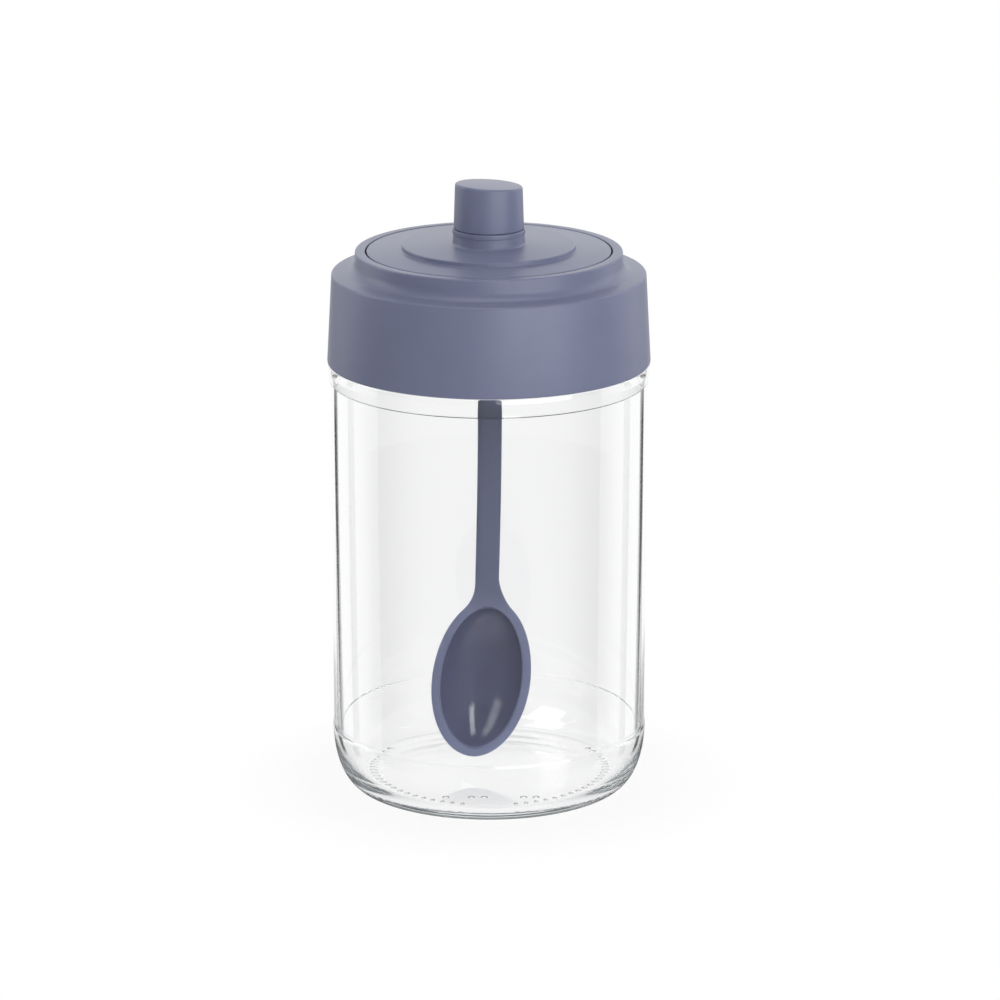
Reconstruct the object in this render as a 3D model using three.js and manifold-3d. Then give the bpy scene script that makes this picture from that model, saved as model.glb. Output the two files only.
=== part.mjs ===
// A glass storage jar with a screw collar, a lift-out lid with a knob, and a spoon that hangs
// from the lid. Lengths are in millimetres. +Z is up, and the origin is the middle of the base,
// on the surface that the jar stands on. The spoon's bowl faces -Y.
import * as THREE from "three";
import { mergeVertices } from "three/addons/utils/BufferGeometryUtils.js";
import Module from "manifold-3d";

// Clearances
const fit = 0.3; // between pieces that touch on the real jar
const lidGap = 0.4; // the open line round the lid's edge
const overrun = 1; // how far a cut runs past the face it opens

// Glass jar
const panelRadius = 44.15; // outside of the label panel, at its foot
const panelDraft = 0.3; // radius that the panel gains towards its top
const panelHeight = 99.6;
const glassWall = 1.9;
const heelHeight = 17.5;
const heelInset = 7.8; // how far the round heel draws in
const heelRelief = 0.25; // how far the heel stands out from the panel
const reliefHeight = 0.5;
const bearingWidth = 5.5; // the flat ring that the jar stands on
const pushUp = 1.4; // rise of the base's underside in the middle
const floorThickness = 3.4; // glass over the push-up
const innerHeelInset = 12;
const innerHeelHeight = 11;
const beadProud = 0.65; // how far the bead under the collar stands out from the panel
const beadSlope = 3; // height of the slope from the panel to the bead
const beadHeight = 2.2;
const beadRounding = 1.3;
const neckInset = 3.55; // from the panel's outside to the neck's
const neckWall = 2.4;
const neckHeight = 22.2;
const collarSeatProud = 1.5; // the ring round the neck's root, below the thread
const collarSeatHeight = 2.4;
const innerShoulderDrop = 4;
const innerShoulderRounding = 3;
const rimRounding = 0.9;

// Gasket between the glass rim and the collar
const gasketThickness = 1;
const gasketWidth = 3.2;

// Screw collar
const threadRoom = 2.7; // between the neck's root and the inside of the skirt
const collarWall = 1.95;
const collarPlate = 1.75; // thickness over the glass rim
const skirtTaper = 1.35; // radius that the skirt's outside loses from its edge to the shoulder
const skirtEdgeRounding = 0.4;
const shoulderRounding = 1.2;
const shoulderRise = 0.6; // from the skirt's top to the foot of the rim
const rimHeight = 5.6; // from there to the top of the rim
const rimDraft = 0.2;
const rimFootRounding = 3;
const rimTopRounding = 0.5;
const rimWall = 2.8;
const ledgeWidth = 2.4; // the ledge inside the rim that carries the lid
const ledgeThickness = 1.6;
const ledgeRounding = 0.3;
const guideRoom = 4.3; // between the glass bore and the collar's guide skirt
const guideWall = 1.8;
const guideDepth = 3.2; // how far the guide skirt hangs below the collar's ceiling
const coreWidth = 1.7; // the groove between the guide skirt and the rim's wall

// Lift-out lid
const lidThickness = 1.8;
const lidCrown = 0.5; // rise of the lid's top from its edge to the plateau
const lidEdgeRounding = 0.35;
const plateauInset = 9.9; // flat ring round the plateau
const plateauRise = 1.25;
const plateauRounding = 0.5;
const plateauCrown = 0.25;
const bossRadius = 10.15;
const bossRise = 4.1;
const bossWall = 1.8;
const bossRounding = 0.3;
const bossFootRounding = 0.5;
const plugDepth = 7.2; // plug skirt below the lid's underside
const plugWall = 2;
const plugStep = 0.7; // how far the plug's flanges stay inside the collar's bore
const sealGrooveDepth = 1.3;
const sealGrooveLand = 1.6; // flange below the groove
const sealHeight = 2.4;
const stemWall = 1.8;
const stemRise = 8.2; // stem above the boss, inside the knob
const stemCap = 2;
const socketDrop = 1.2; // how far the spoon's socket stops short of the plug's edge
const ribCount = 6;
const ribThickness = 1.2;
const ribDepth = 3.4;

// Knob
const knobSetback = 0.35; // from the boss's side to the knob's
const knobHeight = 12.7;
const knobDraft = 0.4; // radius that the knob loses towards its top
const knobRounding = 1.1;
const knobCrown = 0.35;
const knobSlant = THREE.MathUtils.degToRad(3.2); // its top falls towards +X
const knobWall = 1.9;
const knobTop = 2.4;
const knobRibCount = 6;
const knobRibThickness = 1.1;

// Spoon
const handleWidth = 6.7;
const handleThickness = 2.6;
const handleBow = 0.5; // the handle bends this far towards +X between its ends
const handleOffset = 0.55; // and ends this far towards -X at the bowl
const spoonEdge = 0.4; // chamfer all round the spoon
const tipClearance = 3.8; // from the spoon's tip to the glass floor
const bowlWidth = 28;
const bowlTipReach = 22.3; // from the bowl's widest place to its tip
const bowlNeckReach = 23.8; // from there to the end of its oval at the handle
const bowlFlare = 9.4; // length of the curve from the oval to the handle
const flareShare = 0.86; // where it leaves the oval, as a share of bowlNeckReach
const bowlShift = 0.45; // the bowl's axis meets the handle's end this far towards +X
const bowlTilt = THREE.MathUtils.degToRad(8); // the bowl's tip stands forward
const bowlLean = THREE.MathUtils.degToRad(5.2); // and towards -X
const bowlDepth = 8.4;
const bowlWall = 1.5;
const flangeWidth = 2.35;
const flangeThickness = 1.7;
const flangeReveal = 1.2; // how far the bowl's outside stands out from its mouth, under the flange
const bowlFullness = 0.62; // power of the bowl's section: a half is an ellipse, one a parabola

// Facets
const ringFacets = 48;
const knobFacets = 32;
const curveSteps = 6;
const undersideSteps = 3;
const roundingSteps = 2;
const weldShare = 0.001; // of the fit, within which two points are one
const handleSteps = 7;
const flareSteps = 6;
const bowlSteps = 18;
const sectionSteps = 10;
const tipShare = 0.4; // of a step, left flat at the spoon's tip
const leastSpanShare = 0.4; // of a section's half width, kept for the bowl's points
const mostEdgeShare = 1 / 3; // of a section's half width, at most taken by its chamfer

// Levels and radii that follow
const heelRadius = panelRadius + heelRelief;
const bearingOuter = heelRadius - heelInset;
const bearingInner = bearingOuter - bearingWidth;
const panelTop = heelHeight + reliefHeight + panelHeight;
const beadRadius = panelRadius + panelDraft + beadProud;
const shoulderLevel = panelTop + beadSlope + beadHeight;
const glassInner = panelRadius - glassWall;
const floorLevel = pushUp + floorThickness;
const neckRadius = panelRadius - neckInset;
const neckBore = neckRadius - neckWall;
const glassTop = shoulderLevel + neckHeight;

const collarFoot = shoulderLevel + fit;
const collarCeiling = glassTop + gasketThickness + 2 * fit;
const skirtBore = neckRadius + threadRoom;
const skirtRadius = skirtBore + collarWall;
const shoulderTop = collarCeiling + collarPlate;
const rimFoot = shoulderTop + shoulderRise;
const rimTop = rimFoot + rimHeight;
const guideOuter = neckBore - guideRoom;
const collarBore = guideOuter - guideWall;
const pocketRadius = collarBore + ledgeWidth;
const rimRadius = pocketRadius + rimWall;

const lidRadius = pocketRadius - lidGap;
const lidUnder = rimTop - lidThickness;
const ledgeLevel = lidUnder - fit;
const plateauRadius = lidRadius - plateauInset;
const plateauFoot = rimTop + lidCrown;
const plateauTop = plateauFoot + plateauRise;
const bossTop = plateauTop + plateauCrown + bossRise;
const stemTop = bossTop + stemRise;
const plugFoot = lidUnder - plugDepth;
const plugRadius = collarBore - plugStep;
const sealGrooveRadius = plugRadius - sealGrooveDepth;
const plugBore = sealGrooveRadius - plugWall;
const sealFoot = plugFoot + sealGrooveLand + fit;

const slotWidth = handleWidth + 2 * fit;
const slotThickness = handleThickness + 2 * fit;
const stemRadius = Math.hypot(slotWidth, slotThickness) / 2 + stemWall;
const slotTop = stemTop - stemCap;
const socketFoot = plugFoot + socketDrop;

const wasm = await Module();
wasm.setup();

function solidOf(geometry) {
  const bare = geometry.clone();
  bare.deleteAttribute("normal");
  bare.deleteAttribute("uv");
  const merged = mergeVertices(bare, fit * weldShare);
  const vertProperties = merged.attributes.position.array;
  const triVerts = new Uint32Array(merged.index.array);
  return new wasm.Manifold(new wasm.Mesh({ numProp: 3, vertProperties, triVerts }));
}

function geometryOf(solid) {
  const { vertProperties, triVerts } = solid.getMesh();
  const geometry = new THREE.BufferGeometry()
    .setAttribute("position", new THREE.BufferAttribute(vertProperties, 3))
    .setIndex(new THREE.BufferAttribute(triVerts, 1));
  geometry.computeVertexNormals();
  return geometry;
}

// The points of an outline from its corners [radius, height, rounding]. A corner without a
// rounding stays sharp, and a rounding never takes more than half of the side next to it.
function rounded(corners) {
  return corners.flatMap(([r, z, rounding], i) => {
    const corner = new THREE.Vector2(r, z);
    if (!rounding) return [corner];
    const [before, after] = [corners.at(i - 1), corners[(i + 1) % corners.length]].map(
      ([x, y]) => new THREE.Vector2(x, y).sub(corner),
    );
    const half = Math.abs(before.angleTo(after)) / 2;
    const room = Math.min(before.length(), after.length()) / 2;
    const setback = Math.min(rounding / Math.tan(half), room);
    const start = before.setLength(setback);
    const end = after.setLength(setback);
    const centre = start.clone().add(end).setLength(setback / Math.cos(half));
    const radius = setback * Math.tan(half);
    const from = start.clone().sub(centre).angle();
    const turn = end.clone().sub(centre).angle() - from;
    const sweep = Math.atan2(Math.sin(turn), Math.cos(turn));
    return Array.from({ length: roundingSteps + 1 }, (_, k) => {
      const angle = from + (sweep * k) / roundingSteps;
      const arm = new THREE.Vector2(Math.cos(angle), Math.sin(angle)).multiplyScalar(radius);
      return arm.add(centre).add(corner);
    });
  });
}

// A quarter of an ellipse from [r0, z0] to [r1, z1], upright at the end that is named.
function quarter([r0, z0], [r1, z1], uprightAtEnd) {
  return Array.from({ length: curveSteps + 1 }, (_, k) => {
    const angle = (Math.PI / 2) * (k / curveSteps);
    const along = Math.sin(angle);
    const across = 1 - Math.cos(angle);
    return uprightAtEnd
      ? new THREE.Vector2(r0 + (r1 - r0) * along, z0 + (z1 - z0) * across)
      : new THREE.Vector2(r0 + (r1 - r0) * across, z0 + (z1 - z0) * along);
  });
}

// A solid turned about Z. An outline that leaves the axis out closes on itself into a ring.
function turned(outline, facets = ringFacets) {
  const points = THREE.ShapeUtils.area(outline) < 0 ? outline.toReversed() : [...outline];
  if (points[0].x > 0) points.push(points[0].clone());
  return new THREE.LatheGeometry(points, facets).rotateX(Math.PI / 2);
}

function mesh(name, geometry, material) {
  const made = new THREE.Mesh(geometry, material);
  made.name = name;
  return made;
}

const slateBlue = () => new THREE.MeshStandardMaterial({ color: 0x787c98, roughness: 0.42 });
const softWhite = () => new THREE.MeshStandardMaterial({ color: 0xe4e5e2, roughness: 0.6 });
const clearGlass = () =>
  new THREE.MeshStandardMaterial({
    color: 0xeaf1ef,
    roughness: 0.02,
    transparent: true,
    opacity: 0.35,
  });

function glassJar() {
  const underside = Array.from({ length: undersideSteps }, (_, k) => {
    const share = k / undersideSteps;
    return new THREE.Vector2(bearingInner * share, pushUp * (1 - share ** 2));
  });
  const heel = quarter([bearingOuter, 0], [heelRadius, heelHeight], true);
  const seatTop = collarFoot + fit + collarSeatHeight;
  const innerShoulderTop = shoulderLevel - glassWall;
  const wall = rounded([
    [heelRadius, heelHeight],
    [panelRadius, heelHeight + reliefHeight],
    [panelRadius + panelDraft, panelTop],
    [beadRadius, panelTop + beadSlope, beadSlope],
    [beadRadius, shoulderLevel, beadRounding],
    [neckRadius, shoulderLevel, fit],
    [neckRadius, collarFoot + fit],
    [neckRadius + collarSeatProud, seatTop - collarSeatHeight / 2, fit],
    [neckRadius, seatTop],
    [neckRadius, glassTop, rimRounding],
    [neckBore, glassTop, rimRounding],
    [neckBore, innerShoulderTop, innerShoulderRounding],
    [glassInner, innerShoulderTop - innerShoulderDrop, innerShoulderRounding],
    [glassInner, floorLevel + innerHeelHeight],
  ]);
  const floor = quarter(
    [glassInner, floorLevel + innerHeelHeight],
    [glassInner - innerHeelInset, floorLevel],
    false,
  );
  const middle = new THREE.Vector2(0, floorLevel);
  const start = new THREE.Vector2(bearingInner, 0);
  const outline = [...underside, start, ...heel.slice(0, -1), ...wall.slice(0, -1), ...floor, middle];
  return mesh("glass_jar", turned(outline), clearGlass());
}

function jarSeal() {
  const middle = (neckRadius + neckBore) / 2;
  const foot = glassTop + fit;
  const outline = rounded([
    [middle - gasketWidth / 2, foot],
    [middle + gasketWidth / 2, foot],
    [middle + gasketWidth / 2, foot + gasketThickness],
    [middle - gasketWidth / 2, foot + gasketThickness],
  ]);
  return mesh("jar_seal", turned(outline), softWhite());
}

function screwCollar() {
  const coreTop = ledgeLevel - ledgeThickness;
  const coreOuter = guideOuter + coreWidth;
  const outline = rounded([
    [skirtBore, collarFoot],
    [skirtRadius, collarFoot, skirtEdgeRounding],
    [skirtRadius - skirtTaper, shoulderTop, shoulderRounding],
    [rimRadius + rimDraft, rimFoot, rimFootRounding],
    [rimRadius, rimTop, rimTopRounding],
    [pocketRadius, rimTop, ledgeRounding],
    [pocketRadius, ledgeLevel],
    [collarBore, ledgeLevel, ledgeRounding],
    [collarBore, collarCeiling - guideDepth],
    [guideOuter, collarCeiling - guideDepth],
    [guideOuter, coreTop],
    [coreOuter, coreTop],
    [coreOuter, collarCeiling],
    [skirtBore, collarCeiling, ledgeRounding],
  ]);
  return mesh("screw_collar", turned(outline), slateBlue());
}

function lidSeal() {
  const outline = rounded([
    [sealGrooveRadius + fit, sealFoot],
    [collarBore - fit, sealFoot],
    [collarBore - fit, sealFoot + sealHeight],
    [sealGrooveRadius + fit, sealFoot + sealHeight],
  ]);
  return mesh("lid_seal", turned(outline), softWhite());
}

function liftLid() {
  const bossBore = bossRadius - bossWall;
  const plateauUnder = lidUnder + plateauRise;
  const shell = turned(
    rounded([
      [0, stemTop],
      [stemRadius, stemTop, bossRounding],
      [stemRadius, bossTop],
      [bossRadius, bossTop, bossRounding],
      [bossRadius, plateauTop + plateauCrown, bossFootRounding],
      [plateauRadius, plateauTop, plateauRounding],
      [plateauRadius, plateauFoot],
      [lidRadius, rimTop, lidEdgeRounding],
      [lidRadius, lidUnder],
      [plugRadius, lidUnder],
      [plugRadius, sealFoot + sealHeight + fit],
      [sealGrooveRadius, sealFoot + sealHeight + fit],
      [sealGrooveRadius, sealFoot - fit],
      [plugRadius, sealFoot - fit],
      [plugRadius, plugFoot, ledgeRounding],
      [plugBore, plugFoot],
      [plugBore, lidUnder],
      [plateauRadius - lidThickness, lidUnder],
      [plateauRadius - lidThickness, plateauUnder],
      [bossBore, plateauUnder],
      [bossBore, bossTop - bossWall],
      [stemRadius, bossTop - bossWall],
      [stemRadius, socketFoot],
      [0, socketFoot],
    ]),
  );
  const ribStart = stemRadius - stemWall / 2;
  const ribEnd = plugBore + plugWall / 2;
  const ribFoot = lidUnder - ribDepth;
  const ribTurn = plateauRadius - lidThickness / 2;
  // A rib's side, from the socket to the plug skirt. Its ends and its top lie inside the lid.
  const ribSide = new THREE.Shape(
    [
      [ribStart, ribFoot],
      [ribEnd, ribFoot],
      [ribEnd, lidUnder + fit],
      [ribTurn, lidUnder + fit],
      [ribTurn, plateauUnder + fit],
      [ribStart, plateauUnder + fit],
    ].map(([x, y]) => new THREE.Vector2(x, y)),
  );
  let lid = solidOf(shell);
  for (let i = 0; i < ribCount; i++) {
    const rib = new THREE.ExtrudeGeometry(ribSide, { depth: ribThickness, bevelEnabled: false })
      .translate(0, 0, -ribThickness / 2)
      .rotateX(Math.PI / 2)
      .rotateZ((2 * Math.PI * (i + 1 / 2)) / ribCount);
    lid = lid.add(solidOf(rib));
  }
  const slotHeight = slotTop - socketFoot + overrun;
  const slot = new THREE.BoxGeometry(slotWidth, slotThickness, slotHeight).translate(
    0,
    0,
    slotTop - slotHeight / 2,
  );
  lid = lid.subtract(solidOf(slot));
  return mesh("lift_lid", geometryOf(lid), slateBlue());
}

function knob() {
  const radius = bossRadius - knobSetback;
  const foot = bossTop + fit;
  const top = foot + knobHeight;
  const bore = radius - knobWall;
  const roof = top - knobTop;
  const shell = turned(
    rounded([
      [0, roof],
      [bore - knobDraft, roof],
      [bore, foot],
      [radius, foot, bossRounding],
      [radius - knobDraft, top - knobCrown, knobRounding],
      [0, top],
    ]),
    knobFacets,
  );
  // Ribs inside grip the lid's stem.
  const ribInner = stemRadius + fit;
  const ribLength = bore + knobWall / 2 - ribInner;
  const ribFoot = foot + 2 * fit;
  const ribHeight = roof + fit - ribFoot;
  let cap = solidOf(shell);
  for (let i = 0; i < knobRibCount; i++) {
    const rib = new THREE.BoxGeometry(ribLength, knobRibThickness, ribHeight)
      .translate(ribInner + ribLength / 2, 0, ribFoot + ribHeight / 2)
      .rotateZ((2 * Math.PI * i) / knobRibCount);
    cap = cap.add(solidOf(rib));
  }
  // The knob leans its top over: each level falls towards +X in step with its height.
  const geometry = geometryOf(cap);
  const place = geometry.attributes.position;
  for (let i = 0; i < place.count; i++) {
    const share = (place.getZ(i) - foot) / knobHeight;
    place.setZ(i, place.getZ(i) - place.getX(i) * Math.tan(knobSlant) * share);
  }
  geometry.computeVertexNormals();
  return mesh("knob", geometry, slateBlue());
}

// A solid through rings of points, all with as many, and flat ends.
function lofted(rings) {
  const size = rings[0].length;
  const places = rings.flat();
  const faces = [];
  rings.slice(1).forEach((_, j) => {
    for (let i = 0; i < size; i++) {
      const [a, b] = [j * size + i, j * size + ((i + 1) % size)];
      faces.push(a, b, a + size, b, b + size, a + size);
    }
  });
  const lastRing = size * (rings.length - 1);
  [0, lastRing].forEach((first) => {
    const ring = rings[first / size];
    const middle = new THREE.Vector3();
    ring.forEach((point) => middle.add(point));
    places.push(middle.divideScalar(size));
    for (let i = 0; i < size; i++) {
      const pair = [first + i, first + ((i + 1) % size)];
      faces.push(places.length - 1, ...(first ? pair : pair.reverse()));
    }
  });
  return new THREE.BufferGeometry().setFromPoints(places).setIndex(faces);
}

function spoon() {
  const handleHalf = handleWidth / 2;
  const oval = { half: bowlWidth / 2, neck: bowlNeckReach, tip: bowlTipReach };
  const inset = (width) => ({ half: oval.half - width, neck: oval.neck - width, tip: oval.tip - width });
  const cavity = inset(flangeWidth);
  const shell = inset(flangeWidth - flangeReveal);

  // An oval's half width, v along from its widest place towards the tip.
  const halfAt = (o, v) => o.half * Math.sqrt(Math.max(0, 1 - (v / (v < 0 ? o.neck : o.tip)) ** 2));
  // How far a bowl with that oval mouth is sunk at x across and v along, as a share of its depth.
  const sunkAt = (o, x, v) => {
    const across = (x / o.half) ** 2;
    const along = (v / (v < 0 ? o.neck : o.tip)) ** 2;
    return Math.max(0, 1 - across - along) ** bowlFullness;
  };

  // Stations from the handle's end to the tip: v along and the outline's half width.
  const join = -oval.neck * flareShare;
  const joinHalf = halfAt(oval, join);
  const joinSlope = (oval.half ** 2 * -join) / (oval.neck ** 2 * joinHalf);
  const flareCorner = join - (joinHalf - handleHalf) / joinSlope;
  const flare = new THREE.QuadraticBezierCurve(
    new THREE.Vector2(join - bowlFlare, handleHalf),
    new THREE.Vector2(flareCorner, handleHalf),
    new THREE.Vector2(join, joinHalf),
  ).getPoints(flareSteps);
  const swell = Array.from({ length: bowlSteps }, (_, k) => {
    const from = -Math.asin(flareShare);
    const angle = from + ((Math.PI / 2 - from) * (k + 1)) / (bowlSteps + tipShare);
    const v = Math.sin(angle) * (angle < 0 ? oval.neck : oval.tip);
    return new THREE.Vector2(v, halfAt(oval, v));
  });
  const stations = [...flare, ...swell].map(({ x: v, y: half }) => {
    const blend = THREE.MathUtils.smoothstep(v, join - bowlFlare, join);
    return { v, half, blend, tilt: bowlTilt * blend };
  });

  // The front face's middle line is walked down from the handle's end.
  let [y, z] = [0, 0];
  stations.forEach((station, i) => {
    if (i > 0) {
      const step = station.v - stations[i - 1].v;
      const tilt = (station.tilt + stations[i - 1].tilt) / 2;
      y -= step * Math.sin(tilt);
      z -= step * Math.cos(tilt);
    }
    Object.assign(station, { y, z });
  });
  const neckLevel = floorLevel + tipClearance - z;
  const tangTop = slotTop - fit;
  const bowed = (level) => {
    const share = THREE.MathUtils.clamp((socketFoot - level) / (socketFoot - neckLevel), 0, 1);
    return handleBow * Math.sin(Math.PI * share) - handleOffset * share;
  };
  const handle = Array.from({ length: handleSteps }, (_, k) => {
    const level = socketFoot - ((socketFoot - neckLevel) * k) / handleSteps;
    return { level, x: bowed(level) };
  });
  const start = stations[0].v;
  const all = [
    ...[{ level: tangTop, x: 0 }, ...handle].map(({ level, x }) => {
      return { v: start, half: handleHalf, blend: 0, tilt: 0, y: 0, z: level - neckLevel, x };
    }),
    ...stations.map((station) => {
      const along = bowlShift - Math.tan(bowlLean) * (station.v - start);
      return { ...station, x: THREE.MathUtils.lerp(bowed(neckLevel), along, station.blend) };
    }),
  ];

  const rings = all.map(({ v, half, blend, tilt, x: middle, y: forward, z: level }) => {
    const thick = THREE.MathUtils.lerp(handleThickness, flangeThickness, blend);
    const edge = Math.min(spoonEdge, half * mostEdgeShare);
    const across = (o) => {
      const span = Math.max(halfAt(o, v), half * leastSpanShare);
      const inner = Array.from({ length: sectionSteps + 1 }, (_, k) => {
        return span * Math.cos((Math.PI * k) / sectionSteps);
      });
      return [half - edge, ...inner, edge - half];
    };
    const front = across(cavity).map((x) => [x, bowlDepth * sunkAt(cavity, x, v)]);
    const shellDepth = bowlDepth + bowlWall - thick;
    const back = across(shell).map((x) => [-x, thick + shellDepth * sunkAt(shell, x, v)]);
    const section = [
      ...front,
      [-half, edge],
      [-half, thick - edge],
      ...back,
      [half, thick - edge],
      [half, edge],
    ];
    return section.map(([x, depth]) => {
      const behind = -handleThickness / 2 + forward + depth * Math.cos(tilt);
      return new THREE.Vector3(middle + x, behind, neckLevel + level - depth * Math.sin(tilt));
    });
  });
  return mesh("spoon", lofted(rings), slateBlue());
}

const jar = new THREE.Group();
jar.add(glassJar(), jarSeal(), screwCollar(), lidSeal(), liftLid(), knob(), spoon());

export default jar;
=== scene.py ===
"""A glass storage jar with a screw collar, a lift-out lid and a spoon that hangs from the lid.
Lengths are in metres. +Z is up, the origin is the middle of the base, the bowl faces -Y."""

import math

import bpy
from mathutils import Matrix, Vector


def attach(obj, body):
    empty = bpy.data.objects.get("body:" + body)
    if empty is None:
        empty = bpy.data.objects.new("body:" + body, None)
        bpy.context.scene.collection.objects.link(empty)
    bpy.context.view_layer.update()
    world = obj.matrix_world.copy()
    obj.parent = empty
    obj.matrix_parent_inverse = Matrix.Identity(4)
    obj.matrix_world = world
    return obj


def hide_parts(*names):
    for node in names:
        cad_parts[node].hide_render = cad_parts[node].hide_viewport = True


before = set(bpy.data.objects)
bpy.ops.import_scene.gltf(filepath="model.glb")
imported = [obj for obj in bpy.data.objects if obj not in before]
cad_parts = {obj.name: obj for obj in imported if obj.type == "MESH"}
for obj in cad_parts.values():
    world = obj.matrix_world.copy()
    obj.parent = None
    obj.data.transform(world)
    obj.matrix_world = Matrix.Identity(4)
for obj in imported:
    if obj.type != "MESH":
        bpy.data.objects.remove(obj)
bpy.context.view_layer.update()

# The jar: one piece of clear glass, pressed and blown in a mould. The heel is round, the
# label panel is let in a hair, and the neck inside the collar has a screw thread. Its foot
# is a flat ring with two arcs of short marks, so that the hot glass rests on little of it.
BEARING_INNER, BEARING_OUTER, PUSH_UP = 0.0311, 0.0366, 0.0003
MARK_LENGTH, MARK_WIDTH, MARK_DEPTH, MARK_COUNT, MARK_RADIUS = 0.0026, 0.0013, 0.0009, 70, 0.0338
MARK_ARCS = ((-78, 34), (146, 258))  # degrees from +X
DOT_SPOTS = (-12.2, -5.0, -1.4, 9.7, 13.2)  # millimetres along X
DOT_ROW, DOT_WIDTH = 0.0270, 0.0022
HEEL_RADIUS, HEEL_TOP = 0.0444, 0.0175
PANEL_FOOT, PANEL_TOP = (0.04415, 0.0180), (0.04445, 0.1176)
BEAD_RADIUS, BEAD_FOOT, SHOULDER = 0.0451, 0.1206, 0.1230
NECK_RADIUS, NECK_BORE, RIM = 0.0406, 0.0382, 0.1450
SHOULDER_STEP, SEAT_RADIUS, SEAT_LEVEL, SEAT_TOP = 0.0429, 0.0426, 0.1250, 0.1272
PANEL_LEDGE, GLASS_CREASE, GLASS_EDGE, BEAD_EDGE = 0.0003, 0.0001, 0.0003, 0.003
SEAT_EDGE, NECK_FOOT_EDGE, LIP_EDGE, INNER_EDGES = 0.0008, 0.0004, 0.0009, (0.0015, 0.002)
GLASS_INNER, INNER_HEEL, FLOOR_LEVEL, FLOOR_FLAT = 0.04225, 0.0168, 0.0031, 0.0352
INNER_SHOULDER = (0.1234, 0.1282)
THREAD_PITCH, THREAD_TURNS, THREAD_RIDGE = 0.00508, 1.5, 0.0013
NECK_THREAD_START, NECK_THREAD_TURN, NECK_THREAD_ROWS = 0.1290, 0.08, (0.1274, 0.1430)
UNDERSIDE_STEPS, HEEL_STEPS, INNER_HEEL_STEPS, NECK_STEPS = 12, 48, 40, 48
GLASS_TINT, GLASS_BODY, GLASS_DENSITY = (0.994, 0.994, 0.996, 1), (0.70, 0.78, 0.80, 1), 6.0
GLASS_FOR_LAMPS, GLASS_IOR = (0.95, 0.96, 0.955, 1), 1.52
WAVE_LENGTH, WAVE_HEIGHT = 0.03, 0.00008
SHARP_ANGLE = 38  # degrees between faces that meet in a crease


def rounded(corners, steps):
    """The points of an outline from its corners (radius, height, rounding)."""
    points = []
    for i, (r, z, rounding) in enumerate(corners):
        corner = Vector((r, z))
        if not rounding:
            points.append(corner)
            continue
        before = Vector(corners[i - 1][:2]) - corner
        after = Vector(corners[(i + 1) % len(corners)][:2]) - corner
        half = before.angle(after) / 2
        room = min(before.length, after.length) / 2
        setback = min(rounding / math.tan(half), room)
        start, end = before.normalized() * setback, after.normalized() * setback
        centre = (start + end).normalized() * (setback / math.cos(half))
        arm = start - centre
        sweep = arm.angle_signed(end - centre)
        for k in range(steps + 1):
            turn = sweep * k / steps
            c, s = math.cos(turn), math.sin(turn)
            points.append(corner + centre + Vector((arm.x * c + arm.y * s, arm.y * c - arm.x * s)))
    return points


def quarter(start, end, upright_at_end, steps):
    """A quarter of an ellipse between two points of an outline."""
    points = []
    for k in range(steps + 1):
        along = math.sin(math.pi / 2 * k / steps)
        across = 1 - math.cos(math.pi / 2 * k / steps)
        dr, dz = (along, across) if upright_at_end else (across, along)
        r, z = start[0] + (end[0] - start[0]) * dr, start[1] + (end[1] - start[1]) * dz
        points.append(Vector((r, z)))
    return points


def rows(radius, start, end, count):
    """Points up or down a straight wall, close enough to shape a thread from."""
    return [Vector((radius, start + (end - start) * k / count)) for k in range(count + 1)]


def set_down(name, data):
    """A new object in the scene, at the origin."""
    made = bpy.data.objects.new(name, data)
    bpy.context.scene.collection.objects.link(made)
    return made


def outline_piece(name, points):
    """A loose outline in the XZ plane, anticlockwise. One that leaves the axis out closes."""
    mesh = bpy.data.meshes.new(name)
    laps = zip(points, points[1:] + points[:1])
    if sum(a.x * b.y - b.x * a.y for a, b in laps) < 0:
        points = points[::-1]
    edges = [(i, i + 1) for i in range(len(points) - 1)]
    if points[0].x > 0:
        edges.append((len(points) - 1, 0))
    mesh.from_pydata([(p.x, 0, p.y) for p in points], edges, [])
    return set_down(name, mesh)


def place(tree, kind, inputs=(), **settings):
    """A node in a tree, with its inputs set or linked by name or number."""
    made = tree.nodes.new(kind)
    for key, value in settings.items():
        setattr(made, key, value)
    for key, value in dict(inputs).items():
        if isinstance(value, bpy.types.NodeSocket):
            tree.links.new(value, made.inputs[key])
        else:
            made.inputs[key].default_value = value
    return made


def maths(tree, operation, *values):
    return place(tree, "ShaderNodeMath", enumerate(values), operation=operation).outputs[0]


def from_axis(tree, x, y):
    """How far a point is from the axis."""
    squares = maths(tree, "ADD", maths(tree, "MULTIPLY", x, x), maths(tree, "MULTIPLY", y, y))
    return maths(tree, "SQRT", squares)


def ramp(tree, value, low, high, to_low=0.0, to_high=1.0):
    """A smooth step of value from low to high."""
    inputs = {0: value, 1: low, 2: high, 3: to_low, 4: to_high}
    return place(tree, "ShaderNodeMapRange", inputs, interpolation_type="SMOOTHSTEP").outputs[0]


def new_tree(kind, name, inputs, outputs):
    """A node group with named sockets, and its group input and output."""
    tree = bpy.data.node_groups.new(name, kind)
    for label, (socket, value) in inputs.items():
        made = tree.interface.new_socket(label, in_out="INPUT", socket_type="NodeSocket" + socket)
        if value is not None:
            made.default_value = value
    for label, socket in outputs.items():
        tree.interface.new_socket(label, in_out="OUTPUT", socket_type="NodeSocket" + socket)
    return tree, tree.nodes.new("NodeGroupInput").outputs, tree.nodes.new("NodeGroupOutput")


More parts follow.
